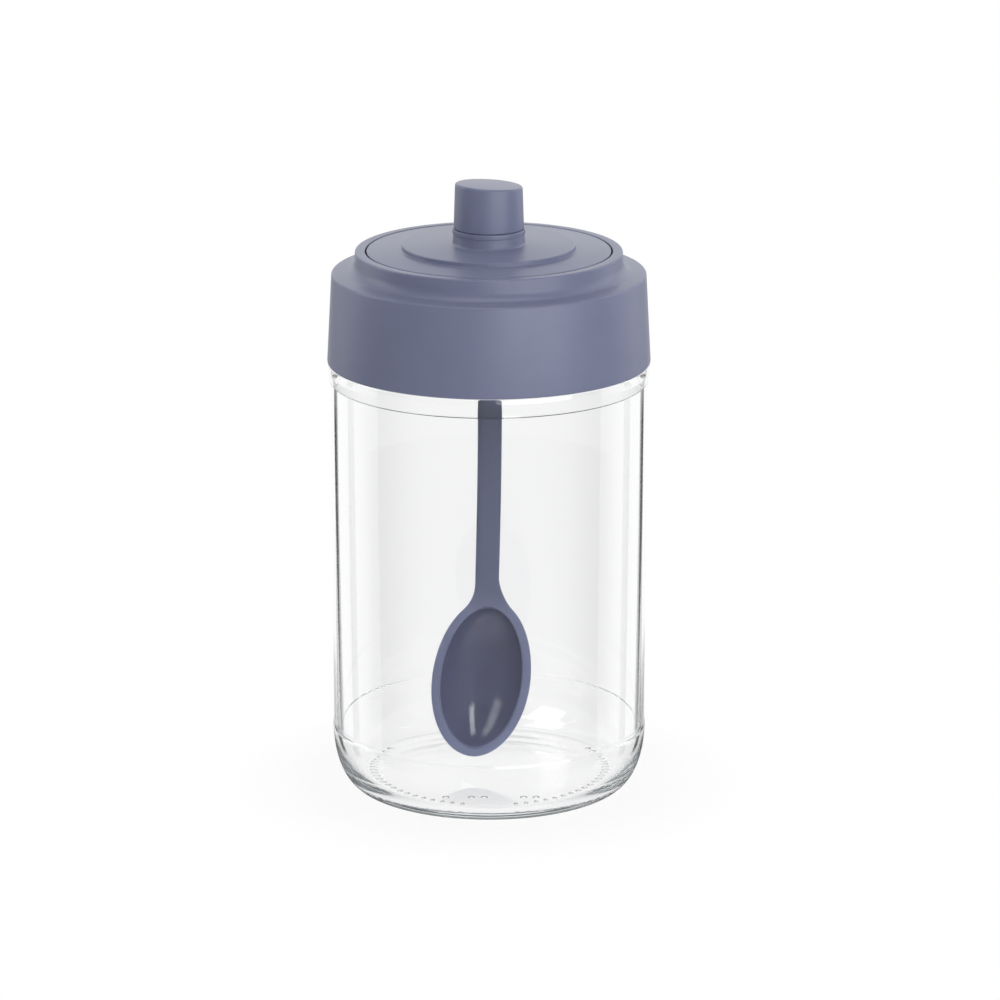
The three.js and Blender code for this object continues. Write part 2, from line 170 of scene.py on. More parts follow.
def made_by(obj, tree, **values):
    """Runs a Geometry Nodes tree on an object and keeps the result as its plain mesh."""
    modifier = obj.modifiers.new(tree.name, "NODES")
    modifier.node_group = tree
    for item in tree.interface.items_tree:
        if item.in_out == "INPUT" and item.name in values:
            modifier[item.identifier] = values[item.name]
    return settled(obj)


def settled(obj):
    graph = bpy.context.evaluated_depsgraph_get()
    mesh = bpy.data.meshes.new_from_object(obj.evaluated_get(graph), depsgraph=graph)
    obj.modifiers.clear()
    obj.data = mesh
    mesh.name = obj.name
    return obj


def joined(obj, other, operation):
    """Adds another closed solid to a closed solid, or cuts it away, and drops the other."""
    modifier = obj.modifiers.new("Join", "BOOLEAN")
    modifier.operation, modifier.solver, modifier.object = operation, "MANIFOLD", other
    finish = obj.data.materials[0]
    settled(obj)
    obj.data.materials.clear()
    obj.data.materials.append(finish)
    bpy.data.objects.remove(other)


def smoothed(obj, crease=SHARP_ANGLE):
    obj.data.shade_smooth()
    obj.data.set_sharp_from_angle(angle=math.radians(crease))


def at_point(tree):
    """The X, Y and Z of each point of a shape."""
    where = place(tree, "GeometryNodeInputPosition").outputs[0]
    return place(tree, "ShaderNodeSeparateXYZ", {0: where}).outputs


def finished(tree, shape, finish, out):
    """Ends a Geometry Nodes tree: real geometry, with its finish on it."""
    real = place(tree, "GeometryNodeRealizeInstances", {"Geometry": shape})
    painted = {"Geometry": real.outputs[0], "Material": finish}
    tree.links.new(place(tree, "GeometryNodeSetMaterial", painted).outputs[0], out.inputs[0])
    return tree


def turning_tree():
    """Turns an outline about Z. The outline is swept round a thin mandrel at the axis."""
    tree, given, out = new_tree(
        "GeometryNodeTree",
        "Turned on the axis",
        {
            "Outline": ("Geometry", None),
            "Facets": ("Int", 192),
            "Mandrel": ("Float", 0.001),
            "Weld": ("Float", 0.000002),
            "Finish": ("Material", None),
        },
        {"Solid": "Geometry"},
    )
    back = place(tree, "ShaderNodeCombineXYZ", {0: maths(tree, "MULTIPLY", given["Mandrel"], -1.0)})
    outline = {"Geometry": given["Outline"], "Offset": back.outputs[0]}
    set_in = place(tree, "GeometryNodeSetPosition", outline)
    # The sweep lays an outline's X across the path, and its Y down the axis.
    x, _, z = at_point(tree)
    upright = place(tree, "ShaderNodeCombineXYZ", {0: x, 1: maths(tree, "MULTIPLY", z, -1.0)})
    turned_down = {"Geometry": set_in.outputs[0], "Position": upright.outputs[0]}
    laid = place(tree, "GeometryNodeSetPosition", turned_down)
    profile = place(tree, "GeometryNodeMeshToCurve", {"Mesh": laid.outputs[0]})
    circle = {"Resolution": given["Facets"], "Radius": given["Mandrel"]}
    path = place(tree, "GeometryNodeCurvePrimitiveCircle", circle)
    sweep = {"Curve": path.outputs[0], "Profile Curve": profile.outputs[0]}
    swept = place(tree, "GeometryNodeCurveToMesh", sweep)
    outward = place(tree, "GeometryNodeFlipFaces", {"Mesh": swept.outputs[0]})
    doubles = {"Geometry": outward.outputs[0], "Distance": given["Weld"]}
    merged = place(tree, "GeometryNodeMergeByDistance", doubles)
    return finished(tree, merged.outputs[0], given["Finish"], out)


def thread_tree():
    """Raises a helical ridge on a turned wall: outwards on a neck, inwards in a collar."""
    tree, given, out = new_tree(
        "GeometryNodeTree",
        "Screw thread",
        {
            "Solid": ("Geometry", None),
            "Root Radius": ("Float", 0.04),
            "Start Height": ("Float", 0.129),
            "Start Angle": ("Float", 0.0),
            "Pitch": ("Float", THREAD_PITCH),
            "Turns": ("Float", THREAD_TURNS),
            "Ridge": ("Float", THREAD_RIDGE),
            "Foot Width": ("Float", 0.0022),
            "Crest Width": ("Float", 0.0008),
            "Run-out": ("Float", 0.08),
            "Tolerance": ("Float", 0.00002),
            "Finish": ("Material", None),
        },
        {"Solid": "Geometry"},
    )
    x, y, z = at_point(tree)
    radius = from_axis(tree, x, y)
    angle = maths(tree, "ARCTAN2", y, x)
    turn = maths(tree, "SUBTRACT", maths(tree, "DIVIDE", angle, 2 * math.pi), given["Start Angle"])
    risen = maths(tree, "DIVIDE", maths(tree, "SUBTRACT", z, given["Start Height"]), given["Pitch"])
    lap = maths(tree, "ROUND", maths(tree, "SUBTRACT", risen, turn))
    along = maths(tree, "ADD", turn, lap)
    missed = maths(tree, "ABSOLUTE", maths(tree, "SUBTRACT", risen, along))
    off = maths(tree, "MULTIPLY", missed, given["Pitch"])
    foot = maths(tree, "MULTIPLY", given["Foot Width"], 0.5)
    crest = maths(tree, "MULTIPLY", given["Crest Width"], 0.5)
    height = ramp(tree, off, foot, crest)
    begins = ramp(tree, along, 0.0, given["Run-out"])
    ends = ramp(tree, along, given["Turns"], maths(tree, "SUBTRACT", given["Turns"], given["Run-out"]))
    share = maths(tree, "MULTIPLY", height, maths(tree, "MULTIPLY", begins, ends))
    on_wall = maths(tree, "COMPARE", radius, given["Root Radius"], given["Tolerance"])
    push = maths(tree, "MULTIPLY", maths(tree, "MULTIPLY", share, given["Ridge"]), on_wall)
    flat = place(tree, "ShaderNodeCombineXYZ", {0: x, 1: y})
    outwards = place(tree, "ShaderNodeVectorMath", {0: flat.outputs[0]}, operation="NORMALIZE")
    pushed = {0: outwards.outputs[0], "Scale": push}
    offset = place(tree, "ShaderNodeVectorMath", pushed, operation="SCALE")
    moved = {"Geometry": given["Solid"], "Offset": offset.outputs[0]}
    raised = place(tree, "GeometryNodeSetPosition", moved)
    return finished(tree, raised.outputs[0], given["Finish"], out)


def marks_tree():
    """Puts a small round-ended mark, longer towards the axis than across, on each point."""
    tree, given, out = new_tree(
        "GeometryNodeTree",
        "Moulded marks",
        {
            "Points": ("Geometry", None),
            "Length": ("Float", MARK_LENGTH),
            "Width": ("Float", MARK_WIDTH),
            "Depth": ("Float", MARK_DEPTH),
            "Segments": ("Int", 8),
            "Rings": ("Int", 6),
            "Finish": ("Material", None),
        },
        {"Marks": "Geometry"},
    )
    x, y, _ = at_point(tree)
    angle = maths(tree, "ARCTAN2", y, x)
    turn = place(tree, "FunctionNodeAxisAngleToRotation", {"Axis": (0, 0, 1), "Angle": angle})
    unit_ball = {"Segments": given["Segments"], "Rings": given["Rings"], "Radius": 0.5}
    ball = place(tree, "GeometryNodeMeshUVSphere", unit_ball)
    tall = maths(tree, "MULTIPLY", given["Depth"], 2.0)
    size = place(tree, "ShaderNodeCombineXYZ", {0: given["Length"], 1: given["Width"], 2: tall})
    each = {
        "Points": given["Points"],
        "Instance": ball.outputs[0],
        "Rotation": turn.outputs[0],
        "Scale": size.outputs[0],
    }
    spread = place(tree, "GeometryNodeInstanceOnPoints", each)
    return finished(tree, spread.outputs[0], given["Finish"], out)


def waves_group():
    """Slow waves that cooling leaves in a pressed or moulded face, as a height in metres."""
    tree, given, out = new_tree(
        "ShaderNodeTree",
        "Cooling waves",
        {"Length": ("Float", 0.02), "Stretch": ("Float", 3.0), "Detail": ("Float", 1.0)},
        {"Height": "Float"},
    )
    where = place(tree, "ShaderNodeTexCoord").outputs["Object"]
    tall = maths(tree, "DIVIDE", 1.0, given["Stretch"])
    scale = place(tree, "ShaderNodeCombineXYZ", {0: 1.0, 1: 1.0, 2: tall})
    drawn = place(tree, "ShaderNodeMapping", {"Vector": where, "Scale": scale.outputs[0]})
    frequency = maths(tree, "DIVIDE", 1.0, given["Length"])
    waves = {"Vector": drawn.outputs[0], "Scale": frequency, "Detail": given["Detail"]}
    noise = place(tree, "ShaderNodeTexNoise", waves)
    tree.links.new(noise.outputs["Fac"], out.inputs[0])
    return tree


def material(name, shader):
    """A material with one Principled shader, and its node tree."""
    made = bpy.data.materials.new(name)
    made.use_nodes = True
    made.node_tree.nodes.clear()
    surface = place(made.node_tree, "ShaderNodeBsdfPrincipled", shader)
    target = place(made.node_tree, "ShaderNodeOutputMaterial", {"Surface": surface.outputs[0]})
    return made, made.node_tree, surface, target


def clear_glass():
    made, tree, surface, target = material(
        "Clear glass",
        {"Base Color": GLASS_TINT, "Roughness": 0.0, "IOR": GLASS_IOR, "Transmission Weight": 1.0},
    )
    waves = place(tree, "ShaderNodeGroup", node_tree=waves_group())
    waves.inputs["Length"].default_value = WAVE_LENGTH
    relief = {"Height": waves.outputs[0], "Strength": 1.0, "Distance": WAVE_HEIGHT}
    bump = place(tree, "ShaderNodeBump", relief)
    tree.links.new(bump.outputs[0], surface.inputs["Normal"])
    # Lamps reach what is inside the jar.
    clear = place(tree, "ShaderNodeBsdfTransparent", {"Color": GLASS_FOR_LAMPS})
    to_lamp = place(tree, "ShaderNodeLightPath").outputs["Is Shadow Ray"]
    either = {0: to_lamp, 1: surface.outputs[0], 2: clear.outputs[0]}
    tree.links.new(place(tree, "ShaderNodeMixShader", either).outputs[0], target.inputs["Surface"])
    body = place(tree, "ShaderNodeVolumeAbsorption", {"Color": GLASS_BODY, "Density": GLASS_DENSITY})
    tree.links.new(body.outputs[0], target.inputs["Volume"])
    return made


turned, threaded, marked = turning_tree(), thread_tree(), marks_tree()
glass = clear_glass()
shares = [k / UNDERSIDE_STEPS for k in range(UNDERSIDE_STEPS + 1)]
underside = [Vector((BEARING_INNER * share, PUSH_UP * (1 - share**2))) for share in shares]
heel = quarter((BEARING_OUTER, 0), (HEEL_RADIUS, HEEL_TOP), True, HEEL_STEPS)
wall = rounded(
    [
        (HEEL_RADIUS, HEEL_TOP, 0),
        (*PANEL_FOOT, GLASS_CREASE),
        (*PANEL_TOP, GLASS_CREASE),
        (PANEL_TOP[0] + PANEL_LEDGE, PANEL_TOP[1] + PANEL_LEDGE, GLASS_CREASE),
        (BEAD_RADIUS, BEAD_FOOT, BEAD_EDGE),
        (BEAD_RADIUS, SHOULDER, GLASS_EDGE),
        (SHOULDER_STEP, SHOULDER, GLASS_EDGE),
        (SEAT_RADIUS, SEAT_LEVEL, SEAT_EDGE),
        (NECK_RADIUS, SEAT_TOP, NECK_FOOT_EDGE),
    ],
    steps=5,
)
thread_rows = rows(NECK_RADIUS, *NECK_THREAD_ROWS, NECK_STEPS)
lip_and_bore = rounded(
    [
        (*thread_rows[-1], 0),
        (NECK_RADIUS, RIM, LIP_EDGE),
        (NECK_BORE, RIM, LIP_EDGE),
        (NECK_BORE, INNER_SHOULDER[1], INNER_EDGES[1]),
        (GLASS_INNER, INNER_SHOULDER[0], INNER_EDGES[0]),
        (GLASS_INNER, INNER_HEEL, 0),
    ],
    steps=6,
)
inner_heel = quarter((GLASS_INNER, INNER_HEEL), (FLOOR_FLAT, FLOOR_LEVEL), False, INNER_HEEL_STEPS)
jar_outline = [
    *underside,
    *heel[:-1],
    *wall,
    *thread_rows,
    *lip_and_bore[1:-1],
    *inner_heel,
    Vector((0, FLOOR_LEVEL)),
]
jar = made_by(outline_piece("jar_glass", jar_outline), turned, Finish=glass)
neck_thread = {
    "Root Radius": NECK_RADIUS,
    "Start Height": NECK_THREAD_START,
    "Start Angle": NECK_THREAD_TURN,
    "Finish": glass,
}
made_by(jar, threaded, **neck_thread)


def loose_points(name, places):
    mesh = bpy.data.meshes.new(name)
    mesh.from_pydata(places, [], [])
    return set_down(name, mesh)


# The marks stand at even turns, on the two arcs only.
turns = [360 * k / MARK_COUNT for k in range(-MARK_COUNT // 4, MARK_COUNT)]
belt_turns = [math.radians(t) for t in turns if any(low < t < high for low, high in MARK_ARCS)]
belt_places = [(MARK_RADIUS * math.cos(t), MARK_RADIUS * math.sin(t), 0) for t in belt_turns]
belt = made_by(loose_points("belt", belt_places), marked, Finish=glass)
dot_places = [(x / 1000, -DOT_ROW, 0) for x in DOT_SPOTS]
dots = loose_points("dots", dot_places)
made_by(dots, marked, Length=DOT_WIDTH, Width=DOT_WIDTH, Finish=glass)
joined(jar, dots, "DIFFERENCE")
joined(jar, belt, "DIFFERENCE")
smoothed(jar)
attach(jar, "jar")
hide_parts("glass_jar")

# The jar's gasket: a flat ring of soft, milky silicone in the collar's ceiling. The glass
# rim presses a shallow track into it.
GASKET_INNER, GASKET_OUTER = 0.0378, 0.0410
GASKET_FOOT, GASKET_TOP, GASKET_EDGE = 0.1453, 0.1463, 0.00025
TRACK_MOUTH, TRACK_FLOOR, TRACK_DEPTH = 0.0009, 0.0006, 0.00015
FINE_EDGE, MOULD_EDGE, SILICONE_CREASE = 0.0002, 0.0003, 40
MILKY, MILKY_DEEP, MILKY_PALE = (0.78, 0.79, 0.77, 1), (0.74, 0.75, 0.73, 1), (0.82, 0.83, 0.81, 1)
BLOOM_SCALE, SILICONE_ROUGHNESS = 900.0, (0.44, 0.56)
NOISE_SPAN = (0.3, 0.7)  # where most of a noise lies


def tinted(tree, share, first, second):
    """A colour between two."""
    colours = {0: share, 6: first, 7: second}
    return place(tree, "ShaderNodeMix", colours, data_type="RGBA").outputs[2]


def soft_silicone():
    made, tree, surface, _ = material(
        "Soft silicone",
        {
            "Base Color": MILKY,
            "Roughness": 0.5,
            "Subsurface Weight": 0.25,
            "Subsurface Radius": (0.002, 0.002, 0.002),
            "Subsurface Scale": 1.0,
        },
    )
    where = place(tree, "ShaderNodeTexCoord").outputs["Object"]
    fine = {"Vector": where, "Scale": BLOOM_SCALE, "Detail": 3.0}
    bloom = place(tree, "ShaderNodeTexNoise", fine).outputs["Fac"]
    tree.links.new(tinted(tree, bloom, MILKY_DEEP, MILKY_PALE), surface.inputs["Base Color"])
    rough = ramp(tree, bloom, *NOISE_SPAN, *SILICONE_ROUGHNESS)
    tree.links.new(rough, surface.inputs["Roughness"])
    return made


silicone = soft_silicone()
middle = (GASKET_INNER + GASKET_OUTER) / 2
gasket_outline = rounded(
    [
        (GASKET_INNER, GASKET_FOOT, GASKET_EDGE),
        (middle - TRACK_MOUTH, GASKET_FOOT, FINE_EDGE),
        (middle - TRACK_FLOOR, GASKET_FOOT + TRACK_DEPTH, FINE_EDGE),
        (middle + TRACK_FLOOR, GASKET_FOOT + TRACK_DEPTH, FINE_EDGE),
        (middle + TRACK_MOUTH, GASKET_FOOT, FINE_EDGE),
        (GASKET_OUTER, GASKET_FOOT, GASKET_EDGE),
        (GASKET_OUTER, GASKET_TOP, GASKET_EDGE),
        (GASKET_INNER, GASKET_TOP, GASKET_EDGE),
    ],
    steps=3,
)
gasket = made_by(outline_piece("jar_gasket", gasket_outline), turned, Facets=128, Finish=silicone)
smoothed(gasket, SILICONE_CREASE)
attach(gasket, "gasket")
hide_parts("jar_seal")

# The screw collar: a slate-blue plastic moulding with a satin face. Its skirt draws in
# towards the shoulder, a raised rim stands round the lid, and a thread runs inside.
COLLAR_FOOT, COLLAR_CEILING = 0.1231, 0.1466
SKIRT_BORE, SKIRT_RADIUS, SHOULDER_RADIUS = 0.0433, 0.04525, 0.0439
SHOULDER_TOP, RIM_FOOT, RIM_TOP = 0.14835, 0.14895, 0.15455
RIM_FOOT_RADIUS, RIM_RADIUS, POCKET_RADIUS = 0.0375, 0.0373, 0.0345
LEDGE_LEVEL, COLLAR_BORE = 0.15245, 0.0321
GUIDE_OUTER, GUIDE_FOOT = 0.0339, 0.1434
CORE_OUTER, CORE_TOP = 0.0356, 0.15085
SKIRT_EDGE, SHOULDER_EDGE, RIM_SWEEP, RIM_EDGE = 0.0004, 0.0007, 0.0030, 0.0005
COLLAR_THREAD_ROWS, COLLAR_STEPS, COLLAR_THREAD_TURN = (0.1440, 0.1252), 52, 0.58
COLLAR_THREAD_FOOT = 0.0020
SLATE = (0.186, 0.204, 0.316, 1)


def grain_group():
    """The face that a spark-eroded mould leaves: a fine grain, and a slow drift of gloss."""
    tree, given, out = new_tree(
        "ShaderNodeTree",
        "Moulded grain",
        {
            "Grain": ("Float", 0.00022),
            "Drift": ("Float", 0.009),
            "Gloss": ("Float", 0.34),
            "Gloss Spread": ("Float", 0.05),
        },
        {"Roughness": "Float", "Height": "Float", "Shade": "Float"},
    )
    where = place(tree, "ShaderNodeTexCoord").outputs["Object"]

    def noise(size, detail):
        scale = maths(tree, "DIVIDE", 1.0, size)
        inputs = {"Vector": where, "Scale": scale, "Detail": detail}
        return place(tree, "ShaderNodeTexNoise", inputs).outputs["Fac"]

    fine, slow = noise(given["Grain"], 2.0), noise(given["Drift"], 4.0)
    centred = maths(tree, "SUBTRACT", slow, 0.5)
    rough = maths(tree, "MULTIPLY_ADD", centred, given["Gloss Spread"], given["Gloss"])
    for number, value in enumerate((rough, fine, slow)):
        tree.links.new(value, out.inputs[number])
    return tree


def slate_plastic(name, pigment=SLATE, gloss=0.39, relief=0.000006, darker=0.965):
    """Slate-blue moulding. The pigment isn't quite even, and the face is finely grained."""
    made, tree, surface, _ = material(name, {"Base Color": pigment, "IOR": 1.49})
    grain = place(tree, "ShaderNodeGroup", node_tree=moulded_grain)
    grain.inputs["Gloss"].default_value = gloss
    deep = tuple(c * darker for c in pigment[:3]) + (1,)
    tint = tinted(tree, ramp(tree, grain.outputs["Shade"], *NOISE_SPAN), deep, pigment)
    tree.links.new(tint, surface.inputs["Base Color"])
    tree.links.new(grain.outputs["Roughness"], surface.inputs["Roughness"])
    grained = {"Height": grain.outputs["Height"], "Strength": 1.0, "Distance": relief}
    bump = place(tree, "ShaderNodeBump", grained)
    tree.links.new(bump.outputs[0], surface.inputs["Normal"])
    return made, tree, surface


moulded_grain = grain_group()
satin_slate = slate_plastic("Satin slate moulding")[0]
collar_outline = rounded(
    [
        (SKIRT_BORE, COLLAR_FOOT, MOULD_EDGE),
        (SKIRT_RADIUS, COLLAR_FOOT, SKIRT_EDGE),
        (SHOULDER_RADIUS, SHOULDER_TOP, SHOULDER_EDGE),
        (RIM_FOOT_RADIUS, RIM_FOOT, RIM_SWEEP),
        (RIM_RADIUS, RIM_TOP, RIM_EDGE),
        (POCKET_RADIUS, RIM_TOP, MOULD_EDGE),
        (POCKET_RADIUS, LEDGE_LEVEL, 0),
        (COLLAR_BORE, LEDGE_LEVEL, MOULD_EDGE),
        (COLLAR_BORE, GUIDE_FOOT, FINE_EDGE),
        (GUIDE_OUTER, GUIDE_FOOT, FINE_EDGE),
        (GUIDE_OUTER, CORE_TOP, MOULD_EDGE),
        (CORE_OUTER, CORE_TOP, MOULD_EDGE),
        (CORE_OUTER, COLLAR_CEILING, FINE_EDGE),
        (SKIRT_BORE, COLLAR_CEILING, MOULD_EDGE),
    ],
    steps=6,
) + rows(SKIRT_BORE, *COLLAR_THREAD_ROWS, COLLAR_STEPS)
collar = made_by(outline_piece("collar_moulding", collar_outline), turned, Finish=satin_slate)
collar_thread = {
    "Root Radius": SKIRT_BORE,
    "Start Height": NECK_THREAD_START + THREAD_PITCH / 2,
    "Start Angle": COLLAR_THREAD_TURN,
    "Ridge": -THREAD_RIDGE,
    "Foot Width": COLLAR_THREAD_FOOT,
    "Finish": satin_slate,
}
made_by(collar, threaded, **collar_thread)
smoothed(collar)
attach(collar, "collar")
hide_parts("screw_collar")

# The lid's seal: a soft ring of the same silicone in the groove of the lid's plug. Its two
# lips grip the collar's bore and hold the lid.
SEAL_INNER, SEAL_WAIST, SEAL_LIP = 0.0304, 0.03125, 0.0318
SEAL_FOOT, SEAL_TOP, SEAL_LIP_RISE = 0.14745, 0.14985, 0.00055
seal_middle = (SEAL_FOOT + SEAL_TOP) / 2
seal_outline = rounded(
    [
        (SEAL_INNER, SEAL_FOOT, FINE_EDGE),
        (SEAL_WAIST, SEAL_FOOT, FINE_EDGE),
        (SEAL_LIP, SEAL_FOOT + SEAL_LIP_RISE, FINE_EDGE),
        (SEAL_WAIST, seal_middle, MOULD_EDGE),
        (SEAL_LIP, SEAL_TOP - SEAL_LIP_RISE, FINE_EDGE),
        (SEAL_WAIST, SEAL_TOP, FINE_EDGE),
        (SEAL_INNER, SEAL_TOP, FINE_EDGE),
    ],
    steps=4,
)
seal = made_by(outline_piece("lid_ring_seal", seal_outline), turned, Facets=128, Finish=silicone)
smoothed(seal, SILICONE_CREASE)
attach(seal, "lid_ring")
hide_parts("lid_seal")

# The lift-out lid: a slate-blue moulding. A low round plateau carries the boss under the
# knob. Below are the plug skirt with its groove, six ribs and the socket for the spoon.
STEM_RADIUS, STEM_TOP, SLOT_TOP = 0.00580, 0.16885, 0.16685
BOSS_RADIUS, BOSS_TOP, BOSS_LIP, BOSS_BORE = 0.01015, 0.16085, 0.0013, 0.00835
PLATEAU_RADIUS, PLATEAU_FOOT, PLATEAU_TOP, PLATEAU_CROWN = 0.0242, 0.15505, 0.1563, 0.00025
LIP_REVEAL, LIP_SLOPE, LIP_SHADOW, LIP_CREASE = 0.0002, 0.0001, 0.0003, 0.00005
BOSS_DRAFT, BOSS_FILLET, BOSS_ROOF = 0.00005, 0.0007, 0.0018
PLATEAU_UNDER, PLATEAU_WALL, PLATEAU_EDGE, BRIM_EDGE = 0.1540, 0.0018, 0.0004, 0.00035
LID_RADIUS, LID_UNDER = 0.0341, 0.15275
PLUG_RADIUS, PLUG_FOOT, PLUG_BORE = 0.0314, 0.14555, 0.0281
PLUG_EDGE, GROOVE_EDGE = 0.0004, 0.0001
GROOVE_RADIUS, GROOVE_FOOT, GROOVE_TOP = 0.0301, 0.14715, 0.15015
SOCKET_FOOT, SLOT_WIDTH, SLOT_THICK = 0.14675, 0.0073, 0.0032
RIB_COUNT, RIB_WIDTH, RIB_FOOT = 6, 0.0012, 0.14935
RIB_ROOT, RIB_END, RIB_TOP = 0.0009, 0.001, 0.0003  # how deep the ribs run into the walls
lip_foot = BOSS_TOP - BOSS_LIP
lid_outline = rounded(
    [
        (0, STEM_TOP, 0),
        (STEM_RADIUS, STEM_TOP, MOULD_EDGE),
        (STEM_RADIUS, BOSS_TOP, FINE_EDGE),
        (BOSS_RADIUS, BOSS_TOP, FINE_EDGE),
        (BOSS_RADIUS, lip_foot, GROOVE_EDGE),
        (BOSS_RADIUS - LIP_REVEAL, lip_foot - LIP_SLOPE, LIP_CREASE),
        (BOSS_RADIUS - LIP_REVEAL, lip_foot - LIP_SHADOW, GROOVE_EDGE),
        (BOSS_RADIUS - BOSS_DRAFT, PLATEAU_TOP + PLATEAU_CROWN, BOSS_FILLET),
        (PLATEAU_RADIUS, PLATEAU_TOP, PLATEAU_EDGE),
        (PLATEAU_RADIUS, PLATEAU_FOOT, BRIM_EDGE),
        (LID_RADIUS, RIM_TOP, BRIM_EDGE),
        (LID_RADIUS, LID_UNDER, FINE_EDGE),
        (PLUG_RADIUS, LID_UNDER, FINE_EDGE),
        (PLUG_RADIUS, GROOVE_TOP, FINE_EDGE),
        (GROOVE_RADIUS, GROOVE_TOP, GROOVE_EDGE),
        (GROOVE_RADIUS, GROOVE_FOOT, GROOVE_EDGE),
        (PLUG_RADIUS, GROOVE_FOOT, FINE_EDGE),
        (PLUG_RADIUS, PLUG_FOOT, PLUG_EDGE),
        (PLUG_BORE, PLUG_FOOT, MOULD_EDGE),
        (PLUG_BORE, LID_UNDER, MOULD_EDGE),
        (PLATEAU_RADIUS - PLATEAU_WALL, LID_UNDER, MOULD_EDGE),
        (PLATEAU_RADIUS - PLATEAU_WALL, PLATEAU_UNDER, MOULD_EDGE),
        (BOSS_BORE, PLATEAU_UNDER, MOULD_EDGE),
        (BOSS_BORE, BOSS_TOP - BOSS_ROOF, MOULD_EDGE),
        (STEM_RADIUS, BOSS_TOP - BOSS_ROOF, MOULD_EDGE),
        (STEM_RADIUS, SOCKET_FOOT, MOULD_EDGE),
        (0, SOCKET_FOOT, 0),
    ],
    steps=5,
)
lid = made_by(outline_piece("lid_moulding", lid_outline), turned, Finish=satin_slate)


def ribs_tree():
    """Repeats one rib about Z."""
    tree, given, out = new_tree(
        "GeometryNodeTree",
        "Ribs round the axis",
        {
            "Rib": ("Geometry", None),
            "Count": ("Int", 6),
            "Start": ("Float", 0.0),
            "Finish": ("Material", None),
        },
        {"Ribs": "Geometry"},
    )
    points = place(tree, "GeometryNodePoints", {"Count": given["Count"]})
    step = maths(tree, "DIVIDE", 2 * math.pi, given["Count"])
    number = place(tree, "GeometryNodeInputIndex").outputs[0]
    angle = maths(tree, "MULTIPLY_ADD", number, step, given["Start"])
    turn = place(tree, "FunctionNodeAxisAngleToRotation", {"Axis": (0, 0, 1), "Angle": angle})
    each = {"Points": points.outputs[0], "Instance": given["Rib"], "Rotation": turn.outputs[0]}
    spread = place(tree, "GeometryNodeInstanceOnPoints", each)
    return finished(tree, spread.outputs[0], given["Finish"], out)


def slab(name, side, width):
    """A closed slab from its side view, a loop of (radius, height), centred on Y = 0."""
    mesh = bpy.data.meshes.new(name)
    count = len(side)
    ends = [[(r, y, z) for r, z in side] for y in (-width / 2, width / 2)]
    faces = [tuple(range(count)), tuple(reversed(range(count, 2 * count)))]
    faces += [(i, i + count, (i + 1) % count + count, (i + 1) % count) for i in range(count)]
    mesh.from_pydata(ends[0] + ends[1], [], faces)
    return set_down(name, mesh)


ribbed = ribs_tree()
rib_side = [
    (STEM_RADIUS - RIB_ROOT, RIB_FOOT),
    (PLUG_BORE + RIB_END, RIB_FOOT),
    (PLUG_BORE + RIB_END, LID_UNDER + RIB_TOP),
    (PLATEAU_RADIUS - RIB_ROOT, LID_UNDER + RIB_TOP),
    (PLATEAU_RADIUS - RIB_ROOT, PLATEAU_UNDER + RIB_TOP),
    (STEM_RADIUS - RIB_ROOT, PLATEAU_UNDER + RIB_TOP),
]
lid_ribs = slab("lid_ribs", rib_side, RIB_WIDTH)
made_by(lid_ribs, ribbed, Count=RIB_COUNT, Start=math.pi / RIB_COUNT, Finish=satin_slate)
joined(lid, lid_ribs, "UNION")
slot_side = [
    (-SLOT_WIDTH / 2, PLUG_FOOT),
    (SLOT_WIDTH / 2, PLUG_FOOT),
    (SLOT_WIDTH / 2, SLOT_TOP),
    (-SLOT_WIDTH / 2, SLOT_TOP),
]
joined(lid, slab("slot", slot_side, SLOT_THICK), "DIFFERENCE")
smoothed(lid)
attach(lid, "lid")
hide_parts("lift_lid")

# The knob: a hollow cap pressed on the lid's stem, gripped by six ribs. It narrows a
# little towards its top, and the slightly domed top slants down to +X and to the back.
KNOB_RADIUS, KNOB_TOP_RADIUS, KNOB_BORE = 0.0098, 0.0094, 0.0079
KNOB_FOOT, KNOB_TOP, KNOB_ROOF = 0.16095, 0.17326, 0.17125
KNOB_SLANT, KNOB_BACK_SLANT = math.radians(3.2), math.radians(2.4)
KNOB_DOME, KNOB_EDGE, KNOB_DRAFT = 0.0001, 0.0007, 0.0004
GRIP_COUNT, GRIP_WIDTH, GRIP_GAP, GRIP_ROOT, GRIP_RISE = 6, 0.0011, 0.0004, 0.0009, 0.0006
knob_outline = rounded(
    [
        (0, KNOB_ROOF, 0),
        (KNOB_BORE - KNOB_DRAFT, KNOB_ROOF, MOULD_EDGE),
        (KNOB_BORE, KNOB_FOOT, FINE_EDGE),
        (KNOB_RADIUS, KNOB_FOOT, MOULD_EDGE),
        (KNOB_TOP_RADIUS, KNOB_TOP - KNOB_DOME, KNOB_EDGE),
        (0, KNOB_TOP, 0),
    ],
    steps=8,
)
knob = made_by(outline_piece("knob_cap", knob_outline), turned, Facets=128, Finish=satin_slate)
grip_side = [
    (STEM_RADIUS + GRIP_GAP, KNOB_FOOT + GRIP_RISE),
    (KNOB_BORE + GRIP_ROOT, KNOB_FOOT + GRIP_RISE),
    (KNOB_BORE + GRIP_ROOT, KNOB_ROOF + RIB_TOP),
    (STEM_RADIUS + GRIP_GAP, KNOB_ROOF + RIB_TOP),
]
grips = slab("grips", grip_side, GRIP_WIDTH)
made_by(grips, ribbed, Count=GRIP_COUNT, Finish=satin_slate)
joined(knob, grips, "UNION")
for vertex in knob.data.vertices:
    share = (vertex.co.z - KNOB_FOOT) / (KNOB_TOP - KNOB_FOOT)
    slant = vertex.co.x * math.tan(KNOB_SLANT) + vertex.co.y * math.tan(KNOB_BACK_SLANT)
    vertex.co.z -= slant * share
smoothed(knob)
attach(knob, "lid")
